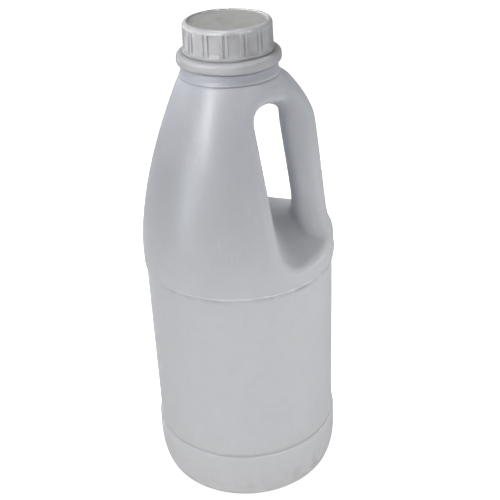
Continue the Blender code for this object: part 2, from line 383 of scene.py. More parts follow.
def shoulder_form(shape):
    """The solid shoulder, from under the bead's top up to the ledge below the ring."""
    top = shape.shoulder_top
    lid = top + 0.2 * MM
    floor = SEAM_HEIGHT - 8.0 * MM
    profile = [(0.0, lid), (envelope(shape, top) - 0.8 * MM, lid)]
    count = 40
    for step in range(count + 1):
        height = top + (shape.shoulder_base - top) * step / count
        profile.append((envelope(shape, height), height))
    profile += [(shape.bead_radius, floor), (0.0, floor)]
    return turn("shoulder_form", profile, shape.around)


def pocket_outline(side):
    """The finger pocket's edge in the plane y = side."""
    share = abs(side) / POCKET_HALF_WIDTH
    floor = POCKET_FLOOR - POCKET_FLOOR_FALL * share
    ceiling = POCKET_CEILING + POCKET_CEILING_RISE * share
    wall = POCKET_WALL - POCKET_WALL_DRAFT * share
    corner = POCKET_CORNERS[0] + (POCKET_CORNERS[1] - POCKET_CORNERS[0]) * share
    lean = atan(POCKET_WALL_SLOPE)
    wall_height = ceiling - POCKET_ARCH - (floor + corner)
    corner_x = wall + wall_height * POCKET_WALL_SLOPE + corner * cos(lean)
    outline = [(POCKET_REACH, floor)]
    outline += arc((corner_x, floor + corner), (corner, corner), 1.5 * pi, pi + lean, 8)
    arch_centre = (wall + POCKET_ARCH, ceiling - POCKET_ARCH)
    outline += arc(arch_centre, (POCKET_ARCH, POCKET_ARCH), pi, pi / 2, 10)
    outline += [(POCKET_REACH, ceiling)]
    return [(x, side, z) for x, z in outline]


def pocket_cutter():
    sides = [POCKET_HALF_WIDTH * step / 4 for step in range(-4, 5)]
    return bridge("pocket_cutter", [pocket_outline(side) for side in sides])


def between(values, position):
    """A smooth curve through the listed values, read at a fractional position."""
    index = min(int(position), len(values) - 2)
    share = position - index
    before = values[max(index - 1, 0)]
    start = values[index]
    end = values[index + 1]
    after = values[min(index + 2, len(values) - 1)]
    bend = (2 * start + (end - before) * share
            + (2 * before - 5 * start + 4 * end - after) * share ** 2
            + (3 * start - before - 3 * end + after) * share ** 3)
    return bend / 2


def handle_ring(position):
    """A rounded section of the handle at a fractional place along HANDLE_SECTIONS."""
    flat = [(*inner, *outer, half) for inner, outer, half in HANDLE_SECTIONS]
    numbers = [between([row[column] for row in flat], position) * MM for column in range(5)]
    inner_x, inner_z, outer_x, outer_z, half_width = numbers
    power = 2.0 / HANDLE_FULLNESS
    ring = []
    for index in range(HANDLE_POINTS):
        angle = tau * index / HANDLE_POINTS
        outward = abs(cos(angle)) ** power * (1 if cos(angle) > 0 else -1)
        sideways = abs(sin(angle)) ** power * (1 if sin(angle) > 0 else -1)
        x = (inner_x + outer_x) / 2 + (outer_x - inner_x) / 2 * outward
        z = (inner_z + outer_z) / 2 + (outer_z - inner_z) / 2 * outward
        ring.append((x, half_width * sideways, z))
    return ring


def handle_form():
    count = STEPS_PER_SECTION * (len(HANDLE_SECTIONS) - 1)
    rings = [handle_ring(step / STEPS_PER_SECTION) for step in range(count + 1)]
    return bridge("handle_form", rings)


def snap_to_envelope(piece, shape):
    """Moves what is already close to the turned shape exactly onto it."""
    for vertex in piece.data.vertices:
        height = vertex.co.z
        radius = vertex.co.xy.length
        if radius < 20.0 * MM or height > shape.shoulder_top - 1.5 * MM:
            continue
        true_radius = envelope(shape, height)
        amount = 1.0 - ramp(abs(radius - true_radius), 0.2 * MM, 0.6 * MM)
        scale = 1.0 + (true_radius / radius - 1.0) * amount
        vertex.co.x *= scale
        vertex.co.y *= scale


def cut_above(piece, height, clear_above):
    edit(piece, "FACE")
    bpy.ops.mesh.select_all(action="SELECT")
    bpy.ops.mesh.bisect(plane_co=(0, 0, height), plane_no=(0, 0, 1),
                        clear_outer=clear_above, clear_inner=not clear_above)
    object_mode()


def blended_shoulder(shape):
    """The shoulder with its finger pocket and handle, as one softly blended skin."""
    form = shoulder_form(shape)
    cutter = pocket_cutter()
    apply_modifier(form, "BOOLEAN", operation="DIFFERENCE", solver="EXACT", object=cutter)
    bpy.data.objects.remove(cutter)
    apply_modifier(form, "REMESH", mode="VOXEL", voxel_size=BLOCK_VOXEL)

    def edge_weight(place):
        sideways = ramp(place.x, -16.0 * MM, -4.0 * MM)
        upwards = 0.25 * ramp(place.z, 156.5 * MM, 160.0 * MM)
        upwards += 0.75 * ramp(place.z, 163.0 * MM, 176.0 * MM)
        return sideways * upwards * (1.0 - ramp(place.z, 252.0 * MM, 262.0 * MM))

    soften(form, edge_weight, 80)
    handle = handle_form()
    pick(handle, form)
    bpy.ops.object.join()
    apply_modifier(form, "REMESH", mode="VOXEL", voxel_size=shape.voxel)

    def joint_weight(place):
        near_handle = ramp(place.x, 4.0 * MM, 16.0 * MM)
        return near_handle * ramp(place.z, 156.5 * MM, 161.0 * MM)

    soften(form, lambda place: 1.0 if place.z > 157.0 * MM else 0.0, 6)
    soften(form, joint_weight, 26)

    def root_weight(place):
        sideways = ramp(place.x, 8.0 * MM, 18.0 * MM)
        upwards = ramp(place.z, 234.0 * MM, 242.0 * MM)
        return sideways * upwards * (1.0 - ramp(place.z, 256.0 * MM, 262.0 * MM))

    soften(form, root_weight, 50)
    snap_to_envelope(form, shape)
    cut_above(form, SEAM_HEIGHT + SEAM_GAP, clear_above=False)
    cut_above(form, shape.shoulder_top - 1.0 * MM, clear_above=True)
    return form


def lower_profile(shape):
    """From the seam down over the bead, the straight wall, the foot band and the foot."""
    body = shape.body_radius
    rim = shape.bead_radius
    bead = SEAM_HEIGHT - 4.5 * MM
    corner = (BEAD_EDGE, BEAD_EDGE)
    profile = [(rim, SEAM_HEIGHT - SEAM_GAP), (rim, bead + BEAD_EDGE)]
    profile += arc((rim - BEAD_EDGE, bead), corner, 0.0, -pi / 2, 5)
    profile += arc((body + 0.1 * MM, bead - 1.0 * MM), corner, pi / 2, pi, 5)
    profile += [(body - 0.4 * MM, bead - 2.5 * MM), (body - 0.25 * MM, bead - 5.0 * MM)]
    heights = (bead - 9.5 * MM, 100.0 * MM, 60.0 * MM, FOOT_BAND_TOP)
    profile += [(body, height) for height in heights]
    profile += arc((body + 0.6 * MM, 34.9 * MM), (0.6 * MM, 0.8 * MM), pi, 1.5 * pi, 5)
    profile += arc((body + 0.5 * MM, 33.2 * MM), (0.65 * MM, 0.9 * MM), pi / 2, 0.0, 5)
    profile += [(body + 1.2 * MM, 29.0 * MM)]
    heel = (shape.band_radius - FOOT_EDGE, FOOT_HEIGHT)
    profile += arc(heel, (FOOT_EDGE, FOOT_HEIGHT), 0.0, -pi / 2, 14)
    profile += [(STANDING_RING[1], 0.0), (STANDING_RING[0], 0.0)]
    profile += arc((0.0, 0.0), PUSH_UP, 0.06 * pi, pi / 2, 10)
    profile[-1] = (0.0, PUSH_UP[1])
    return profile


def neck_profile(shape):
    """From the shoulder's top up the neck, over the rim and down into the mouth."""
    rim = shape.rim_height
    top = shape.shoulder_top
    ledge = envelope(shape, top - 0.5 * MM)
    skirt = SKIRT_RADIUS
    skirt_top = RING_LOW.z - 0.5 * MM
    profile = [(ledge, top - 0.5 * MM), (skirt + 0.6 * MM, top + 0.25 * MM)]
    profile += [(skirt + 0.32 * MM, top + 1.0 * MM), (skirt + 0.12 * MM, top + 1.8 * MM)]
    profile += [(skirt, top + 2.8 * MM)]
    profile += [(skirt, skirt_top - 0.6 * MM), (skirt - 0.4 * MM, skirt_top)]
    profile += [(COLLAR_RADIUS + 0.4 * MM, skirt_top), (COLLAR_RADIUS, skirt_top + 0.4 * MM)]
    profile += [(COLLAR_RADIUS, rim - 14.2 * MM), (RETAINER_RADIUS - 0.1 * MM, rim - 14.2 * MM)]
    profile += [(RETAINER_RADIUS, rim - 13.7 * MM), (COLLAR_RADIUS + 0.2 * MM, rim - 12.9 * MM)]
    profile += [(NECK_RADIUS + 0.3 * MM, rim - 12.5 * MM), (NECK_RADIUS, rim - 12.1 * MM)]
    profile += arc((NECK_RADIUS - 0.6 * MM, rim - 0.6 * MM), (0.6 * MM, 0.6 * MM), 0.0, pi / 2, 6)
    profile += arc((MOUTH_RADIUS + 0.5 * MM, rim - 0.5 * MM), (0.5 * MM, 0.5 * MM), pi / 2, pi, 5)
    profile += [(MOUTH_RADIUS, rim - 8.0 * MM), (MOUTH_RADIUS, top + 4.6 * MM)]
    profile += arc((COLLAR_RADIUS, top + 4.4 * MM), (3.5 * MM, 1.8 * MM), pi, 1.5 * pi, 5)
    profile += [(skirt - 1.9 * MM, top + 2.2 * MM), (skirt - 1.4 * MM, top - 1.0 * MM)]
    return profile


def select_open_loops(piece, low, high):
    """Selects the open loops that lie between two heights."""
    edit(piece, "EDGE")
    bpy.ops.mesh.select_all(action="DESELECT")
    bpy.ops.mesh.select_non_manifold(use_wire=False, use_boundary=True, use_multi_face=False,
                                     use_non_contiguous=False, use_verts=False)
    object_mode()
    vertices = piece.data.vertices
    for edge in piece.data.edges:
        ends = [vertices[index].co.z for index in edge.vertices]
        edge.select = edge.select and all(low < end < high for end in ends)
    for vertex in vertices:
        vertex.select = False
    for edge in piece.data.edges:
        if edge.select:
            for index in edge.vertices:
                vertices[index].select = True


def close_seam(piece, low, high):
    """Bridges the two open loops that lie between these heights."""
    select_open_loops(piece, low, high)
    bpy.ops.object.mode_set(mode="EDIT")
    bpy.ops.mesh.bridge_edge_loops(type="SINGLE")
    object_mode()


def inner_wall(shell, shape):
    """A lighter copy of the shell, moved in by the wall thickness and turned to face inwards."""
    pick(shell)
    bpy.ops.object.duplicate()
    inner = bpy.context.object
    apply_modifier(inner, "DECIMATE", ratio=INNER_WALL_SHARE)
    apply_modifier(inner, "DISPLACE", strength=-shape.wall, mid_level=0.0)
    cut_above(inner, shape.shoulder_top - 3.0 * MM, clear_above=True)
    edit(inner, "FACE")
    bpy.ops.mesh.select_all(action="SELECT")
    bpy.ops.mesh.flip_normals()
    object_mode()
    return inner


def add_thread(name, section, start, turns, pitch):
    """A right-hand helical ridge with closed ends, from a section of (radius, height) points."""
    corners = [(radius, 0.0, start + height) for radius, height in section]
    ridge = placed_ring(corners)
    ridge.name = name
    settle(ridge)
    steps = int(STEPS_PER_TURN * turns)
    apply_modifier(ridge, "SCREW", axis="Z", angle=tau * turns, screw_offset=pitch * turns,
                   steps=steps, render_steps=steps, use_merge_vertices=False)
    edit(ridge, "EDGE")
    bpy.ops.mesh.select_all(action="DESELECT")
    bpy.ops.mesh.select_non_manifold()
    bpy.ops.mesh.fill_holes(sides=0)
    bpy.ops.mesh.select_all(action="SELECT")
    bpy.ops.mesh.normals_make_consistent(inside=False)
    object_mode()
    return ridge


def thread_section(root, crest):
    foot = 0.75 * MM
    tip = 0.32 * MM
    return [(root, -foot), (crest, -tip), (crest, tip), (root, foot)]


class BOTTLE_OT_shell(bpy.types.Operator):
    """Models the hollow bottle with its handle, finger pocket, bands and threaded neck"""

    bl_idname = "calf_bottle.shell"
    bl_label = "Bottle shell"

    def execute(self, context):
        shape = context.scene.bottle_shape
        shoulder = blended_shoulder(shape)
        lower = turn("lower_body", lower_profile(shape), shape.around)
        pick(shoulder, lower)
        bpy.ops.object.join()
        shell = bpy.context.object
        top = shape.shoulder_top
        close_seam(shell, SEAM_HEIGHT - 1.0 * MM, SEAM_HEIGHT + 1.0 * MM)
        inner = inner_wall(shell, shape)
        neck = turn("neck", neck_profile(shape), shape.around)
        pick(neck, shell)
        bpy.ops.object.join()
        shell = bpy.context.object
        close_seam(shell, top - 1.2 * MM, top - 0.3 * MM)
        edit(shell)
        bpy.ops.mesh.select_all(action="SELECT")
        bpy.ops.mesh.normals_make_consistent(inside=False)
        object_mode()
        pick(inner, shell)
        bpy.ops.object.join()
        shell = bpy.context.object
        close_seam(shell, top - 3.6 * MM, top - 0.7 * MM)
        pitch = context.scene.closure_shape.thread_pitch
        section = thread_section(THREAD_ROOT, THREAD_CREST)
        thread = add_thread("neck_thread", section, THREAD_START, THREAD_TURNS, pitch)
        pick(thread, shell)
        bpy.ops.object.join()
        shell = bpy.context.object
        material = shell_material(context.scene.bottle_finish)
        finish_piece(shell, "bottle_shell", "bottle", ["bottle"], material)
        return {"FINISHED"}


# ------------------------------------------------------------ closure

class BOTTLE_OT_neck_ring(bpy.types.Operator):
    """Models the white ring that sits captive on the neck"""

    bl_idname = "calf_bottle.neck_ring"
    bl_label = "Neck ring"

    def execute(self, context):
        radius = context.scene.closure_shape.ring_radius
        base = RING_LOW.z
        top = RING_HIGH.z
        upper = top - 2.4 * MM
        lower = base + 1.9 * MM
        profile = [(24.0 * MM, top), (25.8 * MM, top), (radius - 2.4 * MM, top)]
        profile += arc((radius - 2.5 * MM, upper), (2.5 * MM, 2.4 * MM), pi / 2, 0.0, 12)[1:]
        profile += arc((radius - 2.1 * MM, lower), (2.1 * MM, 1.9 * MM), 0.0, -pi / 2, 10)
        profile += [(22.9 * MM, base), (22.5 * MM, base + 0.4 * MM)]
        profile += [(22.5 * MM, top - 2.2 * MM), (24.0 * MM, top - 2.2 * MM), (24.0 * MM, top)]
        ring = turn("ring", profile, 160)
        material = ring_material(context.scene.bottle_finish)
        finish_piece(ring, "neck_ring_piece", "ring", ["neck_ring"], material)
        return {"FINISHED"}


class BOTTLE_OT_liner(bpy.types.Operator):
    """Models the foam disc that seals the rim inside the cap"""

    bl_idname = "calf_bottle.liner"
    bl_label = "Cap liner"

    def execute(self, context):
        edge = 0.15 * MM
        low = LINER_LOW.z
        high = LINER_HIGH.z
        radius = LINER_HIGH.x
        profile = [(0.0, high)]
        profile += arc((radius - edge, high - edge), (edge, edge), pi / 2, 0.0, 4)
        profile += arc((radius - edge, low + edge), (edge, edge), 0.0, -pi / 2, 4)
        profile += [(20.3 * MM, low), (20.0 * MM, low + 0.12 * MM)]
        profile += [(18.9 * MM, low + 0.12 * MM), (18.6 * MM, low), (0.0, low)]
        liner = turn("liner", profile, 128)
        material = liner_material(context.scene.bottle_finish)
        finish_piece(liner, "liner_disc", "liner", ["cap_liner"], material)
        return {"FINISHED"}


# each rib unit is a rib, a narrow groove, a second rib and a wide flat, in columns of faces
UNIT_COLUMNS = 32
GROOVE_COLUMNS = (4, 8)
FLAT_COLUMNS = (12, 32)
FIRST_COLUMN = 7
SKIRT_LOW = 2.0 * MM
SKIRT_HIGH = 13.6 * MM
SKIRT_INNER = 23.0 * MM
DISC_RADIUS = 21.4 * MM
CAP_BORE = 22.3 * MM
CAP_THREAD_ROOT = 22.6 * MM
CAP_THREAD_CREST = 21.0 * MM
CAP_THREAD_TURNS = 1.5


def cap_profile(radius, base, height):
    """Down from the recessed disc, over the rim, down the skirt and up the bore."""
    top = base + height
    disc = top - 0.8 * MM
    rim = radius - 0.55 * MM
    shoulder = top - 2.6 * MM
    inside = top - 2.7 * MM
    profile = [(0.0, disc), (15.0 * MM, disc), (DISC_RADIUS, disc)]
    profile += arc((DISC_RADIUS, disc + 0.4 * MM), (0.4 * MM, 0.4 * MM), -pi / 2, -0.15, 4)
    profile += arc((CAP_BORE, top - 0.35 * MM), (0.45 * MM, 0.35 * MM), pi, pi / 2, 4)
    profile += arc((rim - 2.3 * MM, shoulder), (2.3 * MM, 2.6 * MM), pi / 2, 0.0, 10)[1:]
    for step in range(1, 11):
        share = step / 10
        height_now = shoulder + (base + SKIRT_LOW - shoulder) * share
        profile.append((rim + (radius - 0.2 * MM - rim) * share, height_now))
    profile += arc((radius - 0.5 * MM, base + 1.4 * MM), (0.5 * MM, 0.4 * MM), 1.2, 0.0, 4)
    profile += arc((radius - 0.2 * MM, base + 0.2 * MM), (0.2 * MM, 0.2 * MM), 0.0, -pi / 2, 4)
    profile += [(CAP_BORE + 0.3 * MM, base), (CAP_BORE, base + 0.3 * MM)]
    profile += [(CAP_BORE, inside - 0.3 * MM), (CAP_BORE - 0.3 * MM, inside), (0.0, inside)]
    return profile


def rib_place(place, units):
    """The rib unit a skirt face lies in, and its column within that unit."""
    share = (Vector((1.0, 0.0)).angle_signed(place.xy) * -1.0 % tau) / tau
    return divmod(int(share * units * UNIT_COLUMNS) + FIRST_COLUMN, UNIT_COLUMNS)


def cap_panels(cap, units, base, depth):
    """Presses in the flats and the narrow grooves, and leaves the rib pairs standing."""
    for (low, high), sink in ((FLAT_COLUMNS, depth), (GROOVE_COLUMNS, depth * 0.9)):
        for unit_half in (0, 1):
            def wanted(face):
                centre = face.center
                height = centre.z - base
                if not SKIRT_LOW < height < SKIRT_HIGH or centre.xy.length < SKIRT_INNER:
                    return False
                unit, column = rib_place(centre, units)
                return unit % 2 == unit_half and low <= column < high

            edit(cap, "FACE")
            object_mode()
            select_where(cap, "polygons", wanted)
            bpy.ops.object.mode_set(mode="EDIT")
            bpy.ops.mesh.select_mode(type="VERT")
            bpy.ops.mesh.select_less()
            bpy.ops.transform.shrink_fatten(value=-sink)
            object_mode()


class BOTTLE_OT_cap(bpy.types.Operator):
    """Models the screw cap with its rib pairs, recessed disc and inner thread"""

    bl_idname = "calf_bottle.cap"
    bl_label = "Screw cap"

    def execute(self, context):
        closure = context.scene.closure_shape
        base = CAP_HIGH.z - closure.cap_height
        profile = cap_profile(closure.cap_radius, base, closure.cap_height)
        cap = turn("cap", profile, closure.rib_units * UNIT_COLUMNS)
        pick(cap)
        cap_panels(cap, closure.rib_units, base, closure.panel_depth)
        section = thread_section(CAP_THREAD_ROOT, CAP_THREAD_CREST)
        start = THREAD_START + closure.thread_pitch / 2
        thread = add_thread("cap_thread", section, start, CAP_THREAD_TURNS, closure.thread_pitch)
        pick(thread, cap)
        bpy.ops.object.join()
        material = cap_material(context.scene.bottle_finish)
        finish_piece(cap, "cap_piece", "cap", ["screw_cap"], material)
        return {"FINISHED"}


# ------------------------------------------------------------ materials

class Tree:
    """Short calls for adding and joining shader nodes."""

    def __init__(self, tree):
        self.tree = tree
        self.column = 0

    def add(self, kind, **settings):
        node = self.tree.nodes.new(kind)
        node.location = (self.column, 0)
        self.column += 180
        for name, value in settings.items():
            setattr(node, name, value)
        return node

    def join(self, source, target):
        self.tree.links.new(source, target)

    def value_of(self, node, socket, value):
        """Joins value to the socket if it is a socket, or sets it."""
        if isinstance(value, bpy.types.NodeSocket):
            self.join(value, node.inputs[socket])
        else:
            node.inputs[socket].default_value = value

    def noise(self, vector, scale, detail=3.0, roughness=0.5, distortion=0.0):
        node = self.add("ShaderNodeTexNoise")
        self.join(vector, node.inputs["Vector"])
        self.value_of(node, "Scale", scale)
        self.value_of(node, "Detail", detail)
        self.value_of(node, "Roughness", roughness)
        self.value_of(node, "Distortion", distortion)
        return node.outputs["Fac"]

    def maths(self, operation, first, second=0.0, third=0.0):
        node = self.add("ShaderNodeMath", operation=operation)
        self.value_of(node, 0, first)
        self.value_of(node, 1, second)
        self.value_of(node, 2, third)
        return node.outputs[0]

    def step(self, value, low, high, bottom=0.0, top=1.0):
        node = self.add("ShaderNodeMapRange", interpolation_type="SMOOTHSTEP")
        self.value_of(node, "Value", value)
        self.value_of(node, "From Min", low)
        self.value_of(node, "From Max", high)
        self.value_of(node, "To Min", bottom)
        self.value_of(node, "To Max", top)
        return node.outputs[0]

    def mix(self, factor, first, second, blend="MIX"):
        node = self.add("ShaderNodeMix", data_type="RGBA", blend_type=blend)
        self.value_of(node, 0, factor)
        self.value_of(node, 6, first)
        self.value_of(node, 7, second)
        return node.outputs[2]

    def stretched(self, vector, scale):
        node = self.add("ShaderNodeMapping")
        self.join(vector, node.inputs["Vector"])
        node.inputs["Scale"].default_value = scale
        return node.outputs[0]

    def split(self, vector):
        node = self.add("ShaderNodeSeparateXYZ")
        self.join(vector, node.inputs[0])
        return node.outputs

    def radius(self, x, y):
        """Distance from the bottle's axis."""
        return self.maths("SQRT", self.maths("MULTIPLY_ADD", y, y, self.maths("MULTIPLY", x, x)))

    def distance(self, vector, place):
        node = self.add("ShaderNodeVectorMath", operation="DISTANCE")
        self.join(vector, node.inputs[0])
        node.inputs[1].default_value = place
        return node.outputs["Value"]


def new_group(name, inputs, outputs):
    """An empty shader group with named sockets: (name, type, default) in, (name, type) out."""
    group = bpy.data.node_groups.new(name, "ShaderNodeTree")
    for label, kind, default in inputs:
        socket = group.interface.new_socket(name=label, in_out="INPUT", socket_type=kind)
        if default is not None:
            socket.default_value = default
    for label, kind in outputs:
        group.interface.new_socket(name=label, in_out="OUTPUT", socket_type=kind)
    tree = Tree(group)
    return group, tree, tree.add("NodeGroupInput").outputs, tree.add("NodeGroupOutput").inputs


def moulded_skin_group():
    """Fine grain, slow waviness and scuffs of a moulded plastic surface."""
    group, tree, given, out = new_group(
        "moulded_skin",
        [("Vector", "NodeSocketVector", None), ("Grain Scale", "NodeSocketFloat", 1400.0),
         ("Wave Scale", "NodeSocketFloat", 26.0), ("Wave Amount", "NodeSocketFloat", 1.0)],
        [("Height", "NodeSocketFloat"), ("Scuffs", "NodeSocketFloat"),
         ("Mottle", "NodeSocketFloat")])
    grain = tree.noise(given["Vector"], given["Grain Scale"], 2.0)
    wave = tree.noise(given["Vector"], given["Wave Scale"], 2.0)
    wave = tree.maths("MULTIPLY", wave, given["Wave Amount"])
    height = tree.maths("MULTIPLY_ADD", grain, 0.05, wave)
    tree.join(height, out["Height"])
    upright = tree.stretched(given["Vector"], (1.0, 1.0, 0.16))
    streaks = tree.noise(upright, 420.0, 4.0, 0.65, 0.4)
    patches = tree.noise(given["Vector"], 34.0, 3.0, 0.55)
    scuffs = tree.maths("MULTIPLY", tree.step(streaks, 0.52, 0.72), tree.step(patches, 0.42, 0.66))
    tree.join(scuffs, out["Scuffs"])
    mottle = tree.noise(given["Vector"], 90.0, 5.0, 0.6, 0.3)
    tree.join(mottle, out["Mottle"])
    return group


def grime_group():
    """Dirt that gathers where a mask says, broken up by noise."""
    group, tree, given, out = new_group(
        "grime",
        [("Vector", "NodeSocketVector", None), ("Mask", "NodeSocketFloat", 0.0),
         ("Speck Scale", "NodeSocketFloat", 900.0), ("Patch Scale", "NodeSocketFloat", 60.0),
         ("Specks", "NodeSocketFloat", 0.5)],
        [("Amount", "NodeSocketFloat")])
    patches = tree.noise(given["Vector"], given["Patch Scale"], 5.0, 0.62, 0.5)
    gathered = tree.maths("MULTIPLY", given["Mask"], tree.step(patches, 0.36, 0.68))
    specks = tree.noise(given["Vector"], given["Speck Scale"], 2.0, 0.5)
    dots = tree.maths("MULTIPLY", tree.step(specks, 0.60, 0.72), given["Specks"])
    total = tree.maths("ADD", gathered, dots)
    tree.join(tree.maths("MINIMUM", total, 1.0), out["Amount"])
    return group


def use_group(tree, maker, name, **values):
    group = bpy.data.node_groups.get(name) or maker()
    node = tree.add("ShaderNodeGroup")
    node.node_tree = group
    for label, value in values.items():
        tree.value_of(node, label.replace("_", " "), value)
    return node.outputs


def start_material(name):
    material = bpy.data.materials.new(name)
    material.use_nodes = True
    tree = Tree(material.node_tree)
    shader = material.node_tree.nodes["Principled BSDF"]
    shader.location = (2600, 0)
    material.node_tree.nodes["Material Output"].location = (2900, 0)
    place = tree.add("ShaderNodeTexCoord").outputs["Object"]
    return material, tree, shader, place


def colour(values):
    return (*values, 1.0)


def bumped(tree, shader, height, strength, distance):
    bump = tree.add("ShaderNodeBump")
    bump.inputs["Strength"].default_value = strength
    bump.inputs["Distance"].default_value = distance
    tree.join(height, bump.inputs["Height"])
    tree.join(bump.outputs["Normal"], shader.inputs["Normal"])


BEAD_STEP = 148.2 * MM


def shell_material(finish):
    """Natural polyethylene: milky, faintly blue, with scuffs and yard dirt in the steps; painted
    darker up the shoulder and darker still round the neck under the ring, as painted shade.
    """
    material, tree, shader, place = start_material("natural_polyethylene")
    skin = use_group(tree, moulded_skin_group, "moulded_skin", Vector=place,
                     Grain_Scale=1500.0, Wave_Scale=30.0, Wave_Amount=1.0)
    x, y, z = tree.split(place)
    dull = [value * 0.97 for value in finish.shell]
    base = tree.mix(tree.step(skin["Mottle"], 0.35, 0.7), colour(finish.shell), colour(dull))
    warm = (finish.shell[0] * 1.06, finish.shell[1] * 1.03, finish.shell[2] * 0.98)
    base = tree.mix(tree.step(z, 0.05, 0.0, 0.0, 0.8), base, colour(warm))
    # Painted shade: from 130 mm up to 250 mm the colour darkens, standing in for the dimmer light on
    # the upper body.
    upper_shade = [value * tint for value, tint in zip(finish.shell, (0.72, 0.735, 0.76))]
    base = tree.mix(tree.step(z, 0.13, 0.25), base, colour(upper_shade))
    # Painted shadow: above 262 mm the neck is darkened further, where the neck ring casts its shade.
    under_ring_shadow = [value * 0.78 for value in upper_shade]
    base = tree.mix(tree.step(z, 0.2620, 0.2665), base, colour(under_ring_shadow))
    bead = tree.maths("ABSOLUTE", tree.maths("SUBTRACT", z, BEAD_STEP))
    bead_line = tree.step(bead, 0.0034, 0.0006)
    handle_side = tree.step(x, 0.005, 0.045, 0.35, 1.0)
    mask = tree.maths("MULTIPLY", bead_line, handle_side)
    foot = tree.maths("MULTIPLY", tree.step(z, 0.032, 0.008, 0.0, 0.5), handle_side)
    mask = tree.maths("MAXIMUM", mask, foot)
    dirt = use_group(tree, grime_group, "grime", Vector=place, Mask=mask, Speck_Scale=1300.0,
                     Patch_Scale=70.0, Specks=0.10)
    scuffed = tree.mix(tree.maths("MULTIPLY", skin["Scuffs"], 0.12), base, (0.86, 0.87, 0.89, 1.0))
    stained = tree.mix(tree.maths("MULTIPLY", dirt["Amount"], 0.75), scuffed, colour(finish.grime))
    tree.join(stained, shader.inputs["Base Color"])
    rough = tree.step(skin["Scuffs"], 0.0, 1.0, 0.36, 0.55)
    rough = tree.maths("MAXIMUM", rough, tree.step(dirt["Amount"], 0.0, 0.6, 0.0, 0.7))
    tree.join(rough, shader.inputs["Roughness"])
    seam = tree.step(tree.maths("ABSOLUTE", y), 0.00035, 0.00005, 0.0, 0.35)
    height = tree.maths("ADD", skin["Height"], seam)
    bumped(tree, shader, height, 0.35, 0.0006)
    shader.inputs["IOR"].default_value = 1.5
    shader.inputs["Subsurface Weight"].default_value = 1.0
    shader.inputs["Subsurface Radius"].default_value = (1.0, 1.0, 1.0)
    shader.inputs["Subsurface Scale"].default_value = 0.01
    return material


# places (x, y) of dark marks on the cap's disc and their radii, in metres
CAP_DARK_SPOTS = (
    (-0.0037, 0.0043, 0.0036),
    (-0.0190, 0.0033, 0.0032),
    (0.0178, -0.0110, 0.0042),
    (0.0196, -0.0040, 0.0030),
    (-0.0094, 0.0170, 0.0022),
    (0.0115, 0.0150, 0.0020),
)


def cap_material(finish):
    """White polypropylene: a clean glossy skirt, and a dull recessed top painted darker and warmer
    as shade, with dirt specks and dark spots.
    """
    material, tree, shader, place = start_material("cap_polypropylene")
    skin = use_group(tree, moulded_skin_group, "moulded_skin", Vector=place,
                     Grain_Scale=1800.0, Wave_Scale=60.0, Wave_Amount=0.35)
    x, y, z = tree.split(place)
    radius = tree.radius(x, y)
    disc = tree.maths("MULTIPLY", tree.step(z, CAP_HIGH.z - 0.0006, CAP_HIGH.z - 0.0010),
                      tree.step(radius, 0.0216, 0.0208))
    top_only = tree.step(z, CAP_HIGH.z - 0.0022, CAP_HIGH.z - 0.0013)
    disc = tree.maths("MULTIPLY", disc, top_only)
    # A darker ring, in patches, round the disc's edge where it meets the rim.
    corner = tree.maths("MULTIPLY", tree.step(radius, 0.0192, 0.0212), top_only)
    corner = tree.maths("MULTIPLY", corner, tree.step(radius, 0.0220, 0.0214))
    dots = []
    for spot_x, spot_y, size in CAP_DARK_SPOTS:
        gap = tree.distance(place, (spot_x, spot_y, CAP_HIGH.z - 0.0010))
        dots.append(tree.step(gap, size, size * 0.25))
    dark_spots = dots[0]
    for dot in dots[1:]:
        dark_spots = tree.maths("MAXIMUM", dark_spots, dot)
    mask = tree.maths("MULTIPLY", disc, 0.75)
    mask = tree.maths("MAXIMUM", mask, tree.maths("MULTIPLY", corner, 0.7))
    dirt = use_group(tree, grime_group, "grime", Vector=place, Mask=mask, Speck_Scale=1500.0,
                     Patch_Scale=150.0, Specks=tree.maths("MULTIPLY_ADD", disc, 0.8, 0.04))
    amount = tree.maths("MAXIMUM", dirt["Amount"], dark_spots)
    top_shade_and_mottle = [value * tint for value, tint in zip(finish.cap, (0.44, 0.425, 0.395))]
    # Painted shade: the recessed disc is made darker and warmer, standing in for the dimmer light on
    # the up-facing top; the same tone also mottles the cap at random.
    base = tree.mix(disc, colour(finish.cap), colour(top_shade_and_mottle))
    base = tree.mix(tree.step(skin["Mottle"], 0.3, 0.75, 0.0, 0.4), base, colour(top_shade_and_mottle))
    stained = tree.mix(tree.maths("MULTIPLY", amount, 0.62), base, colour(finish.grime))
    tree.join(stained, shader.inputs["Base Color"])
    rough = tree.step(skin["Scuffs"], 0.0, 1.0, 0.30, 0.5)
    rough = tree.maths("MAXIMUM", rough, tree.maths("MULTIPLY", disc, 0.6))
    tree.join(rough, shader.inputs["Roughness"])
    bumped(tree, shader, skin["Height"], 0.25, 0.0004)
    shader.inputs["IOR"].default_value = 1.49
    return material


